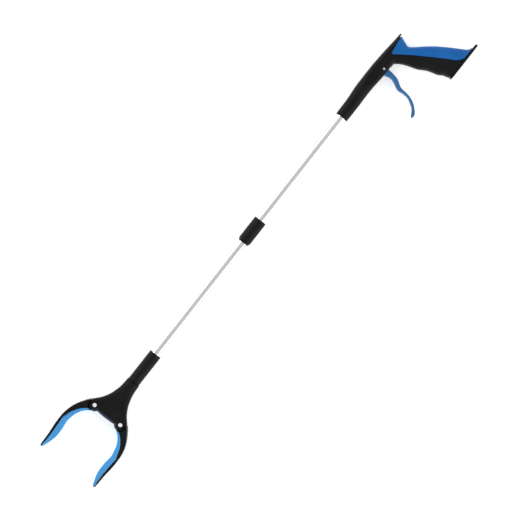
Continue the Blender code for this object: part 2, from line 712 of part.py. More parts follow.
def jaw_points(points, sign):
    """Fingers stretch with the jaw's length, forward of the pivot."""
    k = JAW_LONG / 91.2
    out = []
    for f, y in points:
        ahead = f - PIVOT_F
        out.append((fx(PIVOT_F + (ahead * k if ahead > 20 else ahead)), sign * y))
    return out


def jaw(name, sign):
    obj = prism(name, jaw_points(FINGER_OUT + FINGER_IN, sign), -HALF_THICK, HALF_THICK)
    x, y = fx(PIVOT_F), sign * PIVOT_Y
    bevel(obj, 0.5, 1)
    cut(obj, z_rod(name + "_ear_room", x, y, 9.3, -20, 20, 40))
    join(obj, z_rod(name + "_root", x, y, ROOT_R, -ROOT_HALF, ROOT_HALF, 32))
    bridge = jaw_points([(56.0, 28.0), (57.0, 34.5), (66.0, 37.5), (72.5, 35.0), (66.5, 27.5), (63.0, 22.0)], sign)
    join(obj, prism(name + "_bridge", bridge, -ROOT_HALF, ROOT_HALF))
    dx, dy = fx(PIVOT_F + DRIVE_F), sign * (PIVOT_Y - DRIVE_Y)
    join(obj, z_rod(name + "_lobe", dx, dy, 3.4, -ROOT_HALF, ROOT_HALF, 20))
    join(obj, z_rod(name + "_boss", x, y, 3.6, -4.2, 4.2))
    cut(obj, z_rod(name + "_bore", x, y, JAW_PIN_R + PIN_GAP, -9, 9))
    cut(obj, z_rod(name + "_drive_hole", dx, dy, DRIVE_PIN_R + 0.25, -9, 9, 16))
    return finish(obj, black(), (x, y, 0))


def jaw_pad(name, sign):
    obj = prism(name, jaw_points(PAD_OUT + PAD_IN, sign), -HALF_THICK + 0.4, HALF_THICK - 0.4)
    bevel(obj, 0.6, 1, 50)
    x, y = fx(PIVOT_F), sign * PIVOT_Y
    cut(obj, z_rod(name + "_ear_room", x, y, 9.35, -20, 20, 40))
    return finish(obj, pad_blue(), (x, y, 0))


def jaw_pin(name, sign):
    profile = [(-9.9, 1.9), (-9.6, 2.7), (-9.2, 2.9), (-9.1, 2.9), (-9.1, 2.0), (9.1, 2.0), (9.1, 2.9), (9.2, 2.9)]
    profile += [(9.6, 2.7), (9.9, 1.9)]
    obj = z_turned(name, fx(PIVOT_F), sign * PIVOT_Y, profile)
    return finish(obj, steel(), (SEAM_X, 0, 0))


def build():
    rear_tube()
    front_tube()
    tube_pin("tube_pin_rear", NOSE_X + 34, 8.8, (NOSE_X, 0, 0))
    tube_pin("tube_pin_front", SEAM_X + 30, math.sqrt((NECK_R - 0.1) ** 2 - 5.7**2), (0, FOLD_PIN_UP, 0))
    lock_sleeve()
    rear_hinge_insert()
    front_hinge_insert()
    hinge_pin()
    pull_cord_rear()
    pull_cord_front()
    handle_shell("handle_shell_upper", 1)
    handle_shell("handle_shell_lower", -1)
    for i, (x, y) in enumerate(handle_screws()):
        screw("handle_screw_%d" % (i + 1), x, y, -11.4, 8.2, (NOSE_X, 0, 0))
    grip_overmould()
    grip_end_plate()
    trigger()
    trigger_pin()
    cord_ferrule()
    neck_sleeve()
    head_shell("head_shell_upper", 1)
    head_shell("head_shell_lower", -1)
    for sign, tag in ((1, "a"), (-1, "b")):
        x, y = head_screw_spot(sign)
        screw("head_screw_" + tag, x, y, -8.4, 7.0, (SEAM_X, 0, 0))
    throat_liner()
    crosshead()
    drive_pin("drive_pin_a", 1)
    drive_pin("drive_pin_b", -1)
    return_spring()
    for sign, tag in ((1, "a"), (-1, "b")):
        jaw("jaw_" + tag, sign)
        jaw_pad("jaw_pad_" + tag, sign)
        jaw_pin("jaw_pin_" + tag, sign)


build()
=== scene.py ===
"""Looks of the folding reacher grabber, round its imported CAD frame. Millimetres until at() makes metres."""

import json
import math

import bmesh
import bpy
import numpy as np
from mathutils import Matrix, Vector


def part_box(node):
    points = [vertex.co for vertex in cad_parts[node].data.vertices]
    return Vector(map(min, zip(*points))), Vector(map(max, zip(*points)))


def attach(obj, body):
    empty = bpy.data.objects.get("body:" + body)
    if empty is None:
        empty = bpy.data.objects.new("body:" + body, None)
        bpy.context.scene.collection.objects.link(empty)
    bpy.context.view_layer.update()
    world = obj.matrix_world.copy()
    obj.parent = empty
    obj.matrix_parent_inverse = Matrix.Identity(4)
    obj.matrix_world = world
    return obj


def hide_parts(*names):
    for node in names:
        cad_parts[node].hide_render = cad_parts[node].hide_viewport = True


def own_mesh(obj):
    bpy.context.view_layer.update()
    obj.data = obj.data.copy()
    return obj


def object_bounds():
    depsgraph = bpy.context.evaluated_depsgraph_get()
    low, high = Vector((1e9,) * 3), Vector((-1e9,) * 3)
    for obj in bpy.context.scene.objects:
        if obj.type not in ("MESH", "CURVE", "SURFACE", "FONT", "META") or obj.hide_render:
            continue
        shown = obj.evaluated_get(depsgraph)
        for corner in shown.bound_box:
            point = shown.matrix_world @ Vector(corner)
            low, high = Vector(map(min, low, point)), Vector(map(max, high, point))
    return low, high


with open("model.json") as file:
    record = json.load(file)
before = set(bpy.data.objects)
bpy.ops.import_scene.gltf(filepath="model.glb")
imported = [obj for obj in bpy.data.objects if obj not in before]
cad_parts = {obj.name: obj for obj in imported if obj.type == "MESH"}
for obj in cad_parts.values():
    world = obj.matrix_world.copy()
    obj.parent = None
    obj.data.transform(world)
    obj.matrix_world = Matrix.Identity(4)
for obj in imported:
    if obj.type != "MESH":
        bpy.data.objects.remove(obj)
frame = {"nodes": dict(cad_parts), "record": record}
CAD_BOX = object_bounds()
MM = 0.001

# ---- places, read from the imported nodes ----
def middle(node, axis):
    """The middle of a node's box along an axis, in metres."""
    low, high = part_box(node)
    return (low[axis] + high[axis]) / 2


AXIS_Y = middle("rear_tube", 1)
AXIS_Z = middle("rear_tube", 2)
FOLD_X = middle("hinge_pin", 0)

# ---- sizes, in millimetres ----
HALF_THICK = 13.0
GAP = 0.3
SEAM_GAP = 0.1  # half of the hairline between the two halves of a casing
PIN_HOLE_R = 2.15

TUBE_R = 7.95
TUBE_IN_R = 7.1
SLEEVE_R = 9.3
SLEEVE_BORE = 8.35
NECK_R = 8.9
NECK_LONG = 49.6
FRONT_TUBE_X = -17.45
NECK_X = (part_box("neck_sleeve")[1][0] - FOLD_X) / MM
SEAM_X = NECK_X - NECK_LONG

# Of the head, from its seam with the neck (f) and from the shaft's axis (y)
FLANGE_F = 10.2
CROSSHEAD_F = 43.6
PIVOT_F = 58.05
PIVOT_Y = 22.6
EAR_R = 8.8
EAR_ROOM_R = 9.3
HEAD_SIDE_ROOM = 1.2
THROAT_Y = 11.9
HEAD_SCREW = (42.5, 14.2)
JAW_GAP_HALF = 4.5

# Of the handle, from its nose (x) and from the shaft's axis (y)
TRIGGER_X = 88.65
TRIGGER_Y = -5.15
TRIGGER_HALF = 7.5
NOSE_X = (middle("trigger_pin", 0) - FOLD_X) / MM - TRIGGER_X
HANDLE_SCREWS = ((49.0, 6.6), (108.5, 1.0), (121.0, -30.0), (147.0, -80.5))


def at(x, y, z):
    """A point in metres from millimetres about the fold pin's X and the shaft's axis."""
    return Vector((FOLD_X + x * MM, AXIS_Y + y * MM, AXIS_Z + z * MM))


# ---- materials ----
def new_material(name):
    mat = bpy.data.materials.new(name)
    mat.use_nodes = True
    nodes = mat.node_tree.nodes
    return mat, nodes, mat.node_tree.links, nodes["Principled BSDF"]


def noise(nodes, links, scale, detail=3.0, stretch=(1, 1, 1)):
    """A noise texture in object space, in metres."""
    coords = nodes.new("ShaderNodeTexCoord")
    mapping = nodes.new("ShaderNodeMapping")
    mapping.inputs["Scale"].default_value = stretch
    tex = nodes.new("ShaderNodeTexNoise")
    tex.inputs["Scale"].default_value = scale
    tex.inputs["Detail"].default_value = detail
    links.new(coords.outputs["Object"], mapping.inputs["Vector"])
    links.new(mapping.outputs["Vector"], tex.inputs["Vector"])
    return tex


def ramp_color(nodes, links, source, low, high, start=0.3, end=0.7):
    ramp = nodes.new("ShaderNodeValToRGB")
    ramp.color_ramp.elements[0].position = start
    ramp.color_ramp.elements[0].color = (*low, 1)
    ramp.color_ramp.elements[1].position = end
    ramp.color_ramp.elements[1].color = (*high, 1)
    links.new(source, ramp.inputs["Fac"])
    return ramp.outputs["Color"]


def ramp_value(nodes, links, source, low, high):
    spread = nodes.new("ShaderNodeMapRange")
    spread.inputs["From Min"].default_value = 0.3
    spread.inputs["From Max"].default_value = 0.7
    spread.inputs["To Min"].default_value = low
    spread.inputs["To Max"].default_value = high
    links.new(source, spread.inputs["Value"])
    return spread.outputs["Result"]


def bump(nodes, links, source, shader, strength, distance):
    node = nodes.new("ShaderNodeBump")
    node.inputs["Strength"].default_value = strength
    node.inputs["Distance"].default_value = distance
    links.new(source, node.inputs["Height"])
    links.new(node.outputs["Normal"], shader.inputs["Normal"])


def moulded(name, dark, light, rough, grain, depth, spec=0.5):
    """Moulded plastic: broad colour drift, grain that also varies the gloss, and a fine bump."""
    mat, nodes, links, shader = new_material(name)
    drift = noise(nodes, links, 45.0, 4.0)
    links.new(ramp_color(nodes, links, drift.outputs["Fac"], dark, light), shader.inputs["Base Color"])
    fine = noise(nodes, links, grain, 2.0)
    links.new(ramp_value(nodes, links, fine.outputs["Fac"], *rough), shader.inputs["Roughness"])
    bump(nodes, links, fine.outputs["Fac"], shader, 0.35, depth)
    shader.inputs["Specular IOR Level"].default_value = spec
    return mat


def metal(name, low, high, rough, stretch, grain, depth=0.00002):
    """Drawn or plated metal: streaks along the way it was drawn."""
    mat, nodes, links, shader = new_material(name)
    streak = noise(nodes, links, grain, 3.0, stretch)
    links.new(ramp_color(nodes, links, streak.outputs["Fac"], low, high), shader.inputs["Base Color"])
    links.new(ramp_value(nodes, links, streak.outputs["Fac"], *rough), shader.inputs["Roughness"])
    bump(nodes, links, streak.outputs["Fac"], shader, 0.15, depth)
    shader.inputs["Metallic"].default_value = 1.0
    return mat


def braided(name, dark, light):
    """Braided cord: two crossed sets of bands."""
    mat, nodes, links, shader = new_material(name)
    coords = nodes.new("ShaderNodeTexCoord")
    waves = []
    for turn in (0.6, -0.6):
        mapping = nodes.new("ShaderNodeMapping")
        mapping.inputs["Rotation"].default_value = (0, 0, turn)
        wave = nodes.new("ShaderNodeTexWave")
        wave.inputs["Scale"].default_value = 260.0
        wave.inputs["Distortion"].default_value = 0.6
        links.new(coords.outputs["Object"], mapping.inputs["Vector"])
        links.new(mapping.outputs["Vector"], wave.inputs["Vector"])
        waves.append(wave)
    top = nodes.new("ShaderNodeMath")
    top.operation = "MAXIMUM"
    links.new(waves[0].outputs["Fac"], top.inputs[0])
    links.new(waves[1].outputs["Fac"], top.inputs[1])
    links.new(ramp_color(nodes, links, top.outputs["Value"], dark, light), shader.inputs["Base Color"])
    bump(nodes, links, top.outputs["Value"], shader, 0.6, 0.0002)
    shader.inputs["Roughness"].default_value = 0.75
    return mat


BLACK = moulded(
    "black_moulding", (0.0040, 0.0040, 0.0043), (0.0075, 0.0075, 0.0078),
    rough=(0.42, 0.56), grain=1500.0, depth=0.00006, spec=0.13,
)
GRIP_BLUE = moulded(
    "grip_soft_blue", (0.003, 0.100, 0.345), (0.006, 0.122, 0.40),
    rough=(0.45, 0.6), grain=1300.0, depth=0.00008, spec=0.2,
)
PAD_BLUE = moulded(
    "pad_soft_blue", (0.045, 0.270, 0.61), (0.068, 0.330, 0.71),
    rough=(0.5, 0.65), grain=1100.0, depth=0.00010, spec=0.3,
)
TRIGGER_BLUE = moulded(
    "trigger_blue", (0.018, 0.110, 0.29), (0.028, 0.140, 0.35),
    rough=(0.4, 0.54), grain=1500.0, depth=0.00004, spec=0.3,
)
# The throat liner is real soft rubber, but its dark navy is painted shade: the rubber's blue darkened to how
# it looks in the shadow between the head's shells.
NAVY_PAINTED_SHADE = moulded(
    "navy_painted_shade", (0.006, 0.020, 0.05), (0.010, 0.030, 0.07),
    rough=(0.5, 0.62), grain=1100.0, depth=0.00008,
)
ALU = metal(
    "tube_aluminium", (0.78, 0.78, 0.79), (0.88, 0.88, 0.885),
    rough=(0.09, 0.17), stretch=(1, 60, 60), grain=12.0,
)
# Satin rivet metal for the jaw pins: the same steel as the other pins, painted near white as a reflection of
# the lamps.
RIVET_PAINTED_REFLECTION = metal(
    "rivet_painted_reflection", (0.88, 0.88, 0.88), (0.97, 0.97, 0.97),
    rough=(0.5, 0.66), stretch=(1, 1, 1), grain=900.0,
)
STEEL = metal(
    "plated_steel", (0.62, 0.62, 0.63), (0.80, 0.80, 0.80),
    rough=(0.2, 0.36), stretch=(1, 1, 1), grain=900.0,
)
CORD = braided("braided_cord", (0.30, 0.30, 0.29), (0.62, 0.62, 0.60))
BY_SLOT = {
    "black_plastic": BLACK,
    "grip_blue": GRIP_BLUE,
    "pad_blue": PAD_BLUE,
    "trigger_blue": TRIGGER_BLUE,
    "navy_liner": NAVY_PAINTED_SHADE,
    "tube_aluminium": ALU,
    "steel": STEEL,
    "cord": CORD,
}


def dress_cad_nodes():
    """Every CAD node gets the procedural material of its slot, and the jaw pins are rivets whose steel is
    brightened with painted reflection.
    """
    slot_of = {part["node"]: part["material_slot"] for part in frame["record"]["subparts"]}
    for name, node in frame["nodes"].items():
        for place in node.material_slots:
            place.material = RIVET_PAINTED_REFLECTION if name.startswith("jaw_pin") else BY_SLOT[slot_of[name]]


# ---- mesh tools ----
def from_faces(name, points, faces):
    mesh = bpy.data.meshes.new(name)
    mesh.from_pydata([at(*p) for p in points], [], faces)
    mesh.update()
    obj = bpy.data.objects.new(name, mesh)
    bpy.context.scene.collection.objects.link(obj)
    return obj


def loft(name, rings):
    """Joins rings of the same count into a closed skin, with a cap at each end."""
    n = len(rings[0])
    points = [p for ring in rings for p in ring]
    faces = []
    for k in range(len(rings) - 1):
        a, b = k * n, (k + 1) * n
        faces += [(a + i, a + (i + 1) % n, b + (i + 1) % n, b + i) for i in range(n)]
    faces.append(tuple(reversed(range(n))))
    faces.append(tuple((len(rings) - 1) * n + i for i in range(n)))
    obj = from_faces(name, points, faces)
    face_outward(obj)
    return obj


def face_outward(obj):
    work = bmesh.new()
    work.from_mesh(obj.data)
    bmesh.ops.recalc_face_normals(work, faces=work.faces)
    if work.calc_volume(signed=True) < 0:
        bmesh.ops.reverse_faces(work, faces=work.faces)
    work.to_mesh(obj.data)
    work.free()


def circle(r, n=96):
    return [(r * math.cos(2 * math.pi * i / n), r * math.sin(2 * math.pi * i / n)) for i in range(n)]


def x_lathe(name, profile, n=96):
    """A turned solid about the shaft's axis, from (x, radius) pairs, capped at both ends."""
    return loft(name, [[(x, a, b) for a, b in circle(r, n)] for x, r in profile])


def x_ring(name, outer, inner, n=96):
    """A turned sleeve: outer profile one way, inner profile back, closed on itself."""
    profile = outer + inner[::-1]
    points = [(x, a, b) for x, r in profile for a, b in circle(r, n)]
    count = len(profile)
    faces = []
    for k in range(count):
        a, b = k * n, ((k + 1) % count) * n
        faces += [(a + i, a + (i + 1) % n, b + (i + 1) % n, b + i) for i in range(n)]
    obj = from_faces(name, points, faces)
    face_outward(obj)
    return obj


def z_rod(name, x, y, r, z0, z1, n=64):
    return loft(name, [[(x + a, y + b, z) for a, b in circle(r, n)] for z in (z0, z1)])


def prism(name, outline, z0, z1):
    return loft(name, [[(x, y, z) for x, y in outline] for z in (z0, z1)])


def box(name, x0, x1, y0, y1, z0, z1):
    return prism(name, [(x0, y0), (x1, y0), (x1, y1), (x0, y1)], z0, z1)


def bake(obj):
    """Applies the object's modifiers to its mesh."""
    graph = bpy.context.evaluated_depsgraph_get()
    mesh = bpy.data.meshes.new_from_object(obj.evaluated_get(graph))
    old = obj.data
    obj.modifiers.clear()
    obj.data = mesh
    bpy.data.meshes.remove(old)
    return obj


def combine(obj, other, how):
    mod = obj.modifiers.new("shape", "BOOLEAN")
    mod.operation = how
    mod.solver = "EXACT"
    mod.object = other
    bake(obj)
    bpy.data.objects.remove(other)
    return obj


def cut(obj, other):
    return combine(obj, other, "DIFFERENCE")


def join(obj, other):
    return combine(obj, other, "UNION")


def keep(obj, other):
    return combine(obj, other, "INTERSECT")


def organic(obj, voxel, rounds, factor=0.5):
    """Remeshes to even cells and relaxes them, which rounds every edge as a moulding's."""
    mod = obj.modifiers.new("cells", "REMESH")
    mod.mode = "VOXEL"
    mod.voxel_size = voxel * MM
    mod.use_smooth_shade = True
    soft = obj.modifiers.new("relax", "SMOOTH")
    soft.factor = factor
    soft.iterations = rounds
    return bake(obj)


def smooth(obj, degrees=40):
    for poly in obj.data.polygons:
        poly.use_smooth = True
    obj.data.set_sharp_from_angle(angle=math.radians(degrees))
    return obj


def spline(rows, per=6):
    """Catmull-Rom points through rows of numbers."""
    rows = [np.array(r, float) for r in rows]
    out = []
    for i in range(len(rows) - 1):
        p0, p1, p2 = rows[max(i - 1, 0)], rows[i], rows[i + 1]
        p3 = rows[min(i + 2, len(rows) - 1)]
        for k in range(per):
            t = k / per
            square = 2 * p0 - 5 * p1 + 4 * p2 - p3
            cube = 3 * p1 - p0 - 3 * p2 + p3
            out.append(0.5 * (2 * p1 + (p2 - p0) * t + square * t**2 + cube * t**3))
    out.append(rows[-1])
    return [tuple(float(v) for v in r) for r in out]


def squircle(centre, half_a, half_b, power, n=96):
    """A superellipse about (centre, 0): an ellipse at power 2, and boxier above it."""
    out = []
    for i in range(n):
        t = 2 * math.pi * i / n
        c, s = math.cos(t), math.sin(t)
        a = half_a * math.copysign(abs(c) ** (2 / power), c)
        b = half_b * math.copysign(abs(s) ** (2 / power), s)
        out.append((centre + a, b))
    return out


def screw_hole(obj, x, y, profile):
    """Cuts a stepped round hole along Z, from (z, radius) pairs."""
    cut(obj, loft("screw_hole", [[(x + a, y + b, z) for a, b in circle(r, 40)] for z, r in profile]))


def piece(obj, name, mat, body, slot, *nodes):
    """Names the piece, gives it its material and body, and hides the CAD nodes it stands for. The slot
    argument is not used.
    """
    obj.name = name
    obj.data.name = name
    obj.data.materials.clear()
    obj.data.materials.append(mat)
    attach(obj, body)
    if nodes:
        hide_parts(*nodes)
    return obj


def casing_halves(obj, body, x0, x1):
    """Parts a black casing along its seam into the skins of its upper and lower shell."""
    for level, z0, z1 in (("upper", SEAM_GAP, 30), ("lower", -30, -SEAM_GAP)):
        half = obj.copy()
        half.data = obj.data.copy()
        bpy.context.scene.collection.objects.link(half)
        keep(half, box("half", x0, x1, -100, 60, z0, z1))
        smooth(half, 32)
        piece(half, f"{body}_skin_{level}", BLACK, body, "black_plastic", f"{body}_shell_{level}")
    bpy.data.objects.remove(obj)


# ---- shaft ----
def tubes():
    for node, x0, x1, body in (
        ("rear_tube", 20.0, NOSE_X + 45, "handle"),
        ("front_tube", SEAM_X + 3.3, FRONT_TUBE_X, "front_shaft"),
    ):
        outer = [(x0, TUBE_R - 0.25), (x0 + 0.25, TUBE_R), (x1 - 0.25, TUBE_R), (x1, TUBE_R - 0.25)]
        inner = [(x0, TUBE_IN_R + 0.1), (x0 + 0.1, TUBE_IN_R), (x1 - 0.1, TUBE_IN_R), (x1, TUBE_IN_R + 0.1)]
        obj = smooth(x_ring(node, outer, inner, 128))
        piece(obj, node + "_skin", ALU, body, "tube_aluminium", node)


def lock_sleeve():
    x0, x1, r, bore = -15.0, 21.9, SLEEVE_R, SLEEVE_BORE
    outer = [(x0, r - 0.75), (x0 + 0.25, r - 0.35), (x0 + 0.7, r - 0.08), (x0 + 1.3, r), (x1 - 0.9, r)]
    outer += [(x1 - 0.4, r - 0.08), (x1 - 0.1, r - 0.3), (x1, r - 0.5)]
    inner = [(x0, bore + 0.15), (x0 + 0.15, bore), (x1 - 0.15, bore), (x1, bore + 0.15)]
    obj = smooth(x_ring("lock_sleeve_skin", outer, inner, 112), 50)
    piece(obj, "lock_sleeve_skin", BLACK, "lock_sleeve", "black_plastic", "lock_sleeve")


def neck_sleeve():
    """The neck with its spigot and flange inside the head, and a rounded rear lip."""
    x_end, r = NECK_X, NECK_R
    seam = SEAM_X + 0.15
    outer = [(SEAM_X - 9.8, 6.9), (SEAM_X - 9.4, 7.4), (SEAM_X - 7.6, 7.4), (SEAM_X - 7.6, 6.0)]
    outer += [(seam, 6.0), (seam, r - 0.6), (seam + 0.15, r - 0.25), (seam + 0.5, r)]
    outer += [(x_end - 0.9, r), (x_end - 0.35, r - 0.12), (x_end, r - 0.45)]
    bore = TUBE_R + 0.25
    inner = [(SEAM_X - 9.8, 2.0), (SEAM_X + 3.0, 2.0), (SEAM_X + 3.0, bore), (x_end, bore)]
    obj = smooth(x_ring("neck_skin", outer, inner, 112), 35)
    piece(obj, "neck_skin", BLACK, "front_shaft", "black_plastic", "neck_sleeve")


# ---- handle ----
# The barrel, from nose to tail: x, top, bottom, half width, power of the squircle
BODY = [
    (0.0, 9.3, -9.3, 9.3, 2.0),
    (24.6, 9.7, -9.5, 10.0, 2.1),
    (45.5, 11.4, -9.0, 11.6, 2.4),
    (60.0, 11.6, -9.3, 13.4, 2.8),
    (80.3, 11.6, -10.6, 14.0, 3.0),
    (101.2, 10.7, -11.4, 14.0, 3.0),
    (115.1, 9.7, -11.0, 14.0, 3.0),
    (129.0, 8.5, -6.5, 13.6, 3.0),
    (142.3, 7.7, 2.6, 12.4, 3.0),
]
# The grip, from top to foot: y, front, back
GRIP = [
    (4.2, 97.0, 140.6),
    (-5.6, 99.4, 136.9),
    (-12.5, 104.6, 135.0),
    (-20.2, 109.8, 140.2),
    (-29.2, 113.7, 148.5),
    (-41.8, 117.9, 158.7),
    (-51.5, 123.5, 165.2),
    (-58.5, 126.3, 169.7),
    (-68.9, 129.3, 175.9),
    (-75.2, 133.2, 179.6),
    (-80.7, 134.9, 183.5),
    (-83.7, 135.6, 189.0),
]
# The edge of the overmould, from its foot up the grip and back along the barrel
OVER_FRONT = [
    (168.0, -83.5), (159.7, -76.6), (154.1, -66.8), (143.0, -48.7), (129.0, -26.4),
    (119.3, -12.5), (112.6, -3.2), (111.4, -1.0), (112.3, 0.5),
]
OVER_TOP = [(112.3, 0.5), (122.1, 1.8), (138.8, 4.3), (150.0, 5.8)]


def handle_body(name):
    rings = []
    for x, top, low, half, power in spline(BODY, 5):
        ring = squircle((top + low) / 2, (top - low) / 2, half, power)
        rings.append([(NOSE_X + x, y, z) for y, z in ring])
    return loft(name, rings)


def grip_solid(name, inset=0.0, grow=0.0, run_on=0.0):
    """The grip, inset at its back and flanks, then grown all round and run on at both ends."""
    rows = spline(GRIP, 5)
    rows = [(rows[0][0] + run_on, *rows[0][1:])] + rows[1:-1] + [(rows[-1][0] - run_on, *rows[-1][1:])]
    rings = []
    for y, x0, x1 in rows:
        front = x0 + inset * 0.3 - grow
        back = x1 - inset + grow
        ring = squircle((front + back) / 2, (back - front) / 2, 14.2 - inset + grow, 2.6)
        rings.append([(NOSE_X + x, y, z) for x, z in ring])
    return loft(name, rings)


def over_prism(name, grow):
    """Everything behind the overmould's edge."""
    front = [(x - grow, y) for x, y in spline(OVER_FRONT, 5)]
    top = [(x, y + grow) for x, y in spline(OVER_TOP, 4)]
    outline = front[:-1] + top + [(230.0, 5.0), (230.0, -95.0), (176.0, -95.0)]
    return prism(name, [(NOSE_X + x, y) for x, y in outline], -20, 20)


def handle_slab(name):
    """The space between the handle's two flat sides."""
    return box(name, NOSE_X - 5, NOSE_X + 230, -83.9, 30, -HALF_THICK, HALF_THICK)


def handle_shells():
    obj = join(handle_body("handle_skin"), grip_solid("grip_black"))
    keep(obj, handle_slab("slab"))
    cut(obj, cut(over_prism("over_cut", GAP + 0.35), grip_solid("core", 2.7)))
    organic(obj, 0.55, 7)
    n = NOSE_X
    cut(obj, x_lathe("seat", [(n - 5, TUBE_R + GAP), (n + 45.3, TUBE_R + GAP)]))
    cut(obj, x_lathe("seat_lip", [(n - 0.5, TUBE_R + GAP + 0.45), (n + 0.5, TUBE_R + GAP)]))
    cut(obj, prism("cord_way", [(n + 44, -4.5), (n + 84, -10.4), (n + 84, 0.0), (n + 44, 4.0)], -2.2, 2.2))
    cx, half = n + TRIGGER_X, TRIGGER_HALF + 0.4
    cut(obj, z_rod("room", cx, TRIGGER_Y, 6.7, -half, half))
    slot = [(cx - 6.2, TRIGGER_Y), (cx - 5.6, -16.0), (cx + 12.5, -16.0), (cx + 6.4, TRIGGER_Y)]
    cut(obj, prism("slot", slot, -half, half))
    cut(obj, z_rod("pin_hole", cx, TRIGGER_Y, PIN_HOLE_R, -20, 20))
    cut(obj, z_rod("tube_pin_hole", n + 34, 4.5, 1.5, -9.2, 9.2))
    cut(obj, box("witness", n + 24.1, n + 25.1, -5.6, 5.6, 9.0, 20))
    for x, y in HANDLE_SCREWS:
        screw_hole(obj, n + x, y, [(-20, 3.3), (-9.5, 3.2), (-9.5, 1.8), (8.6, 1.8)])
    casing_halves(obj, "handle", n - 10, n + 230)


def grip_overmould():
    obj = keep(grip_solid("overmould"), over_prism("over_keep", 0.0))
    keep(obj, handle_slab("slab"))
    cut(obj, grip_solid("core_room", 2.4, GAP, 1.0))
    black_top = keep(handle_body("top"), box("top_keep", NOSE_X + 90, NOSE_X + 112, -20, 30, -20, 20))
    cut(obj, black_top)
    organic(obj, 0.45, 5)
    smooth(obj, 60)
    piece(obj, "grip_overmould_skin", GRIP_BLUE, "handle", "grip_blue", "grip_overmould")


def end_plate():
    """A flat foot with rounded rims: each ring is a height and how far it stands in from the edge."""
    x0, x1, low = NOSE_X + 136.0, NOSE_X + 195.9, -87.7
    mid = (x0 + x1) / 2
    rings = []
    under = [(0.0, 1.0), (0.12, 0.55), (0.45, 0.16), (0.9, 0.0)]
    above = [(2.8, 0.0), (3.25, 0.16), (3.6, 0.55), (3.7, 1.0)]
    for y, inset in under + above:
        ring = squircle(mid, (x1 - x0) / 2 - inset, HALF_THICK - inset, 4.5, 128)
        rings.append([(x, low + y, z) for x, z in ring])
    obj = smooth(loft("plate", rings), 50)
    piece(obj, "grip_end_plate_skin", BLACK, "handle", "black_plastic", "grip_end_plate")


# ---- trigger ----
TRIGGER_FRONT = [
    (83.3, -3.5), (83.3, -11.1), (85.2, -19.5), (83.8, -26.4), (80.3, -33.4), (78.2, -39.0),
    (78.9, -47.3), (78.2, -55.7), (74.7, -62.6), (69.9, -69.6), (60.8, -75.2),
]
TRIGGER_TIP = [(59.9, -76.6), (60.4, -78.1)]
TRIGGER_BACK = [
    (62.2, -78.6), (66.4, -77.3), (72.0, -72.4), (77.5, -65.4), (81.0, -57.1), (82.4, -48.7),
    (83.1, -40.4), (85.9, -34.8), (89.4, -29.2), (91.5, -20.9), (92.6, -11.1), (92.6, -3.5),
]


def trigger():
    outline = spline(TRIGGER_FRONT, 5) + TRIGGER_TIP + spline(TRIGGER_BACK, 5)
    obj = prism("trigger", [(NOSE_X + x, y) for x, y in outline], -TRIGGER_HALF, TRIGGER_HALF)
    cx = NOSE_X + TRIGGER_X
    join(obj, z_rod("hub", cx, TRIGGER_Y, 5.9, -TRIGGER_HALF, TRIGGER_HALF))
    ax, ay = cx - 2.6, TRIGGER_Y - 4.3
    wedge = [(ax + 0.4, ay - 1.6), (ax - 9, ay - 1.6), (ax - 9, ay + 8.6)]
    wedge += [(ax - 5, ay + 8.6), (ax + 0.4, ay + 1.6)]
    organic(obj, 0.4, 6)
    cut(obj, z_rod("bore", cx, TRIGGER_Y, PIN_HOLE_R, -20, 20))
    cut(obj, z_rod("ferrule_seat", ax, ay, 1.7, -3.3, 3.3))
    cut(obj, prism("cord_slot", wedge, -1.4, 1.4))
    smooth(obj, 45)
    piece(obj, "trigger_skin", TRIGGER_BLUE, "trigger", "trigger_blue", "trigger")


# ---- head ----
# The casing, from the neck to the throat: f, half height, half thickness, power of the squircle
HEAD = [
    (0.15, 9.5, 9.5, 2.0),
    (8.0, 9.7, 9.5, 2.1),
    (15.6, 10.6, 9.3, 2.4),
    (22.0, 12.0, 9.2, 2.8),
    (29.5, 14.3, 9.1, 3.2),
    (36.5, 17.5, 9.0, 4.0),
    (43.4, 21.5, 9.0, 5.0),
    (50.0, 27.0, 9.0, 6.0),
    (56.0, 32.0, 9.0, 7.0),
    (70.0, 36.0, 9.0, 8.0),
]


def fx(f):
    """The x of a place f forward of the head's seam."""
    return SEAM_X - f


def mirrored(points, sign):
    """(f, y) places as (x, y), on the upper side for sign 1 and on the lower for -1."""
    return [(fx(f), sign * y) for f, y in points]


def head_outline():
    """The casing from above: flared sides, round ears about the jaw pivots, nearly straight throat."""
    side = spline([(0.0, 9.6), (15.6, 10.7), (29.5, 14.4), (36.5, 17.6), (43.4, 21.7), (48.5, 26.0)], 5)
    ear = []
    for deg in range(125, -72, -4):
        a = math.radians(deg)
        ear.append((PIVOT_F + EAR_R * math.cos(a), PIVOT_Y + EAR_R * math.sin(a)))
    ear = [p for p in ear if p[1] > 15.0]
    upper = side + ear + [(62.45, 14.0), (62.6, 13.0), (62.9, 11.0), (63.1, 7.5), (63.2, 4.0)]
    lower = [(f, -y) for f, y in reversed(upper)]
    return mirrored(upper + lower, 1)


def head_solid(name, half_less=0.0):
    """The head before its rooms are cut, or one thinner by half_less on each flat side."""
    rings = []
    for f, wide, half, power in spline(HEAD, 4):
        ring = squircle(0, wide + HEAD_SIDE_ROOM, half - half_less, power)
        rings.append([(fx(f), y, z) for y, z in ring])
    return keep(loft(name, rings), prism("head_plan", head_outline(), -12, 12))


def liner_solid(name, grow):
    """The soft strip along the throat, with a wing over the front of each ear."""
    wing = []
    sweep = range(4, -78, -4)
    for r, degs in ((9.4, sweep), (5.7 - grow, reversed(sweep))):
        for deg in degs:
            a = math.radians(deg)
            wing.append((PIVOT_F + r * math.cos(a), PIVOT_Y + r * math.sin(a)))
    strip = [(64.5, -14.5), (64.5, 14.5), (59.9 - grow, 14.5), (59.9 - grow, -14.5)]
    obj = prism(name, mirrored(strip, 1), -12, 12)
    for sign in (1, -1):
        join(obj, prism("wing", mirrored(wing, sign), -11.7, 11.7))
    return obj


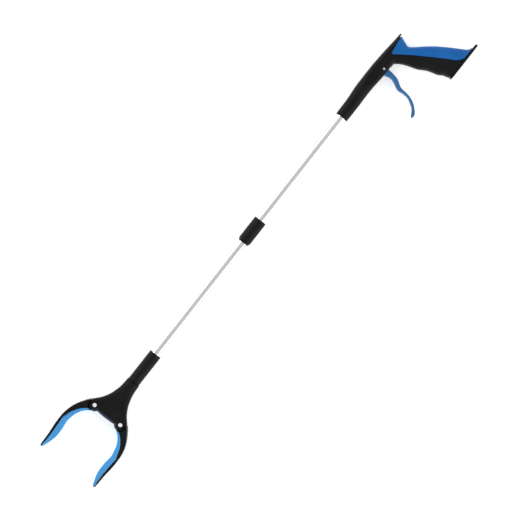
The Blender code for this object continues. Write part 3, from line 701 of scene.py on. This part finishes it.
def liner():
    obj = head_solid("liner", 0.02)
    keep(obj, liner_solid("liner_shape", 0.0))
    organic(obj, 0.35, 3)
    rooms = [(50, THROAT_Y), (61.0, THROAT_Y), (61.9, 14.2), (80, 14.2), (80, 45), (50, 45)]
    for sign in (1, -1):
        cut(obj, prism("lobe_room", mirrored(rooms, sign), -JAW_GAP_HALF, JAW_GAP_HALF))
        cut(obj, z_rod("ear_hole", fx(PIVOT_F), sign * PIVOT_Y, PIN_HOLE_R, -12, 12))
    smooth(obj, 50)
    # Coloured with the navy that has shade painted into it.
    piece(obj, "throat_liner_skin", NAVY_PAINTED_SHADE, "head", "navy_liner", "throat_liner")


def head_shells():
    obj = head_solid("head")
    organic(obj, 0.5, 8)
    side = [(36, 9.5), (47, 9.5), (48.3, 16), (48.3, 45), (80, 45)]
    way = side + [(f, -y) for f, y in reversed(side)]
    room = prism("jaw_room", mirrored(way, 1), -JAW_GAP_HALF, JAW_GAP_HALF)
    cut(room, box("web_keep", fx(65), fx(58.0), -8.0, 8.0, -6, 6))
    liner_seat = liner_solid("liner_seat", 0.12)
    cut(obj, room)
    cut(obj, liner_seat)
    cut(obj, x_lathe("spring_room", [(fx(37), 5.2), (fx(9), 5.2)]))
    cut(obj, x_lathe("flange_room", [(fx(FLANGE_F), 7.75), (fx(7.2), 7.75)]))
    cut(obj, x_lathe("spigot_room", [(fx(8), 6.3), (fx(-1), 6.3)]))
    f, y = HEAD_SCREW
    for sign in (1, -1):
        cut(obj, z_rod("pin_hole", fx(PIVOT_F), sign * PIVOT_Y, PIN_HOLE_R, -12, 12))
        screw_hole(obj, fx(f), sign * y, [(-20, 3.1), (-6.5, 3.1), (-6.5, 1.8), (7.4, 1.8)])
    casing_halves(obj, "head", fx(90), fx(-10))


def return_spring():
    """Spring round the cord, from the neck's flange to the crosshead, its turns closer in the middle than at
    its ends.
    """
    wire, coil, turns, per, sides = 0.55, 4.0, 8, 28, 12
    x0, x1 = fx(FLANGE_F) - wire, fx(CROSSHEAD_F) + wire
    along = Vector((1, 0, 0))
    rings = []
    for i in range(turns * per + 1):
        a = 2 * math.pi * i / per
        t = i / (turns * per)
        share = t + 0.045 * math.sin(2 * math.pi * t)
        out = Vector((0, math.cos(a), math.sin(a)))
        mid = along * (x0 + (x1 - x0) * share) + out * coil
        rings.append([tuple(mid + b * out + c * along) for b, c in circle(wire, sides)])
    obj = smooth(loft("return_spring_skin", rings), 60)
    piece(obj, "return_spring_skin", STEEL, "head", "steel", "return_spring")
    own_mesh(obj)


# ---- jaws ----
FINGER_OUT = [
    (53.8, 31.0), (58.5, 35.0), (64.3, 39.0), (72.0, 43.7), (81.0, 47.6), (92.2, 50.1),
    (103.3, 50.5), (113.0, 50.1), (127.0, 48.8), (140.0, 48.4), (146.8, 48.3),
]
FINGER_IN = [
    (148.6, 46.6), (145.1, 46.7), (133.9, 45.8), (120.0, 46.2), (106.1, 47.0), (99.1, 47.4),
    (92.2, 45.3), (85.0, 43.0), (78.2, 39.3), (71.3, 33.8), (65.8, 27.0), (62.0, 22.0),
]
PAD_OUT = [
    (148.9, 46.2), (145.1, 46.4), (133.9, 45.5), (120.0, 45.9), (106.1, 46.7), (99.2, 47.1),
    (92.4, 45.0), (85.2, 42.7), (78.4, 39.0), (71.6, 33.5), (67.2, 27.9),
]
PAD_IN = [
    (66.0, 18.6), (67.0, 21.6), (70.0, 26.5), (73.8, 30.3), (78.0, 33.2), (84.4, 36.2),
    (92.2, 38.1), (99.1, 39.4), (106.1, 39.0), (113.0, 38.1), (120.0, 37.8), (127.0, 38.1),
    (133.9, 39.5), (141.0, 41.9), (147.5, 44.3),
]
BRIDGE = [(56.0, 28.0), (57.0, 34.0), (66.0, 37.5), (72.5, 35.0), (66.5, 27.5), (63.0, 22.0)]


def jaw(tag, sign):
    outline = mirrored(spline(FINGER_OUT, 5) + spline(FINGER_IN, 5), sign)
    obj = prism("jaw", outline, 0.05 - HALF_THICK, HALF_THICK - 0.05)
    x, y = fx(PIVOT_F), sign * PIVOT_Y
    cut(obj, z_rod("ear_room", x, y, EAR_ROOM_R, -20, 20))
    organic(obj, 0.4, 3)
    join(obj, z_rod("root", x, y, 8.7, -1.8, 1.8))
    join(obj, prism("bridge", mirrored(BRIDGE, sign), -1.75, 1.75))
    dx, dy = fx(PIVOT_F + 1.7), sign * (PIVOT_Y - 6.8)
    join(obj, z_rod("lobe", dx, dy, 3.4, -1.7, 1.7))
    join(obj, z_rod("boss", x, y, 3.6, -4.2, 4.2))
    cut(obj, z_rod("bore", x, y, PIN_HOLE_R, -9, 9))
    cut(obj, z_rod("drive_hole", dx, dy, 1.75, -9, 9))
    smooth(obj, 40)
    piece(obj, "jaw_skin_" + tag, BLACK, "jaw_" + tag, "black_plastic", "jaw_" + tag)


def jaw_pad(tag, sign):
    obj = prism("pad", mirrored(spline(PAD_OUT, 5) + spline(PAD_IN, 5), sign), -12.6, 12.6)
    cut(obj, z_rod("ear_room", fx(PIVOT_F), sign * PIVOT_Y, EAR_ROOM_R + 0.05, -20, 20))
    organic(obj, 0.4, 5)
    smooth(obj, 60)
    piece(obj, "jaw_pad_skin_" + tag, PAD_BLUE, "jaw_" + tag, "pad_blue", "jaw_pad_" + tag)


# ---- stage ----
VIEW_TURN = math.radians(-51.85)  # the shaft lies aslant in the photo, seen from straight above
CAM_RIGHT = Vector((math.cos(VIEW_TURN), math.sin(VIEW_TURN), 0))
CAM_AIM = Vector((-0.0153, -0.0335 + AXIS_Y, AXIS_Z))
FRAME_WIDE = 0.7238
LENS = 135.0
SENSOR = 36.0
FLOOR_HALF = 6.0
FLOOR_DROP = 0.0002
FLOOR_GLOW = 0.5
WORLD_STRENGTH = 0.66
SOFT_BOX = (3.0, 1.0, 24)  # width and depth in metres, power in watts


def camera():
    data = bpy.data.cameras.new("camera")
    data.lens = LENS
    data.sensor_width = SENSOR
    cam = bpy.data.objects.new("camera", data)
    bpy.context.scene.collection.objects.link(cam)
    up = Vector((0, 0, 1)).cross(CAM_RIGHT)
    turn = Matrix((CAM_RIGHT, up, Vector((0, 0, 1)))).transposed()
    cam.rotation_mode = "QUATERNION"
    cam.rotation_quaternion = turn.to_quaternion()
    cam.location = CAM_AIM + Vector((0, 0, FRAME_WIDE * LENS / SENSOR))
    data.clip_end = 50.0
    bpy.context.scene.camera = cam


def area_light(name, place, target, wide, tall, power):
    data = bpy.data.lights.new(name, "AREA")
    data.shape = "RECTANGLE"
    data.size = wide
    data.size_y = tall
    data.energy = power
    obj = bpy.data.objects.new(name, data)
    bpy.context.scene.collection.objects.link(obj)
    obj.location = place
    obj.rotation_mode = "QUATERNION"
    obj.rotation_quaternion = (Vector(target) - Vector(place)).to_track_quat("-Z", "Y")


def floor():
    h = FLOOR_HALF
    mesh = bpy.data.meshes.new("floor")
    mesh.from_pydata([(-h, -h, 0), (h, -h, 0), (h, h, 0), (-h, h, 0)], [], [(0, 1, 2, 3)])
    obj = bpy.data.objects.new("floor", mesh)
    bpy.context.scene.collection.objects.link(obj)
    obj.location.z = CAD_BOX[0][2] - FLOOR_DROP
    mat, nodes, links, shader = new_material("floor_white")
    drift = noise(nodes, links, 3.0)
    white = ramp_color(nodes, links, drift.outputs["Fac"], (0.90, 0.90, 0.90), (0.92, 0.92, 0.92))
    links.new(white, shader.inputs["Base Color"])
    shader.inputs["Roughness"].default_value = 0.9
    shader.inputs["Emission Color"].default_value = (1, 1, 1, 1)
    shader.inputs["Emission Strength"].default_value = FLOOR_GLOW
    obj.data.materials.append(mat)


def lights():
    """Two long soft boxes beside the shaft, and an even white surround."""
    world = bpy.data.worlds.new("studio")
    world.use_nodes = True
    background = world.node_tree.nodes["Background"]
    background.inputs["Color"].default_value = (1, 1, 1, 1)
    background.inputs["Strength"].default_value = WORLD_STRENGTH
    bpy.context.scene.world = world
    for name, side in (("soft_left", 1), ("soft_right", -1)):
        area_light(name, (0, side * 1.9, 1.25), (0, 0, 0), *SOFT_BOX)


def studio():
    bpy.context.scene.view_settings.view_transform = "Standard"
    camera()
    floor()
    lights()


def build():
    dress_cad_nodes()
    tubes()
    lock_sleeve()
    neck_sleeve()
    handle_shells()
    grip_overmould()
    end_plate()
    trigger()
    head_shells()
    liner()
    return_spring()
    for tag, sign in (("a", 1), ("b", -1)):
        jaw(tag, sign)
        jaw_pad(tag, sign)
    studio()


build()
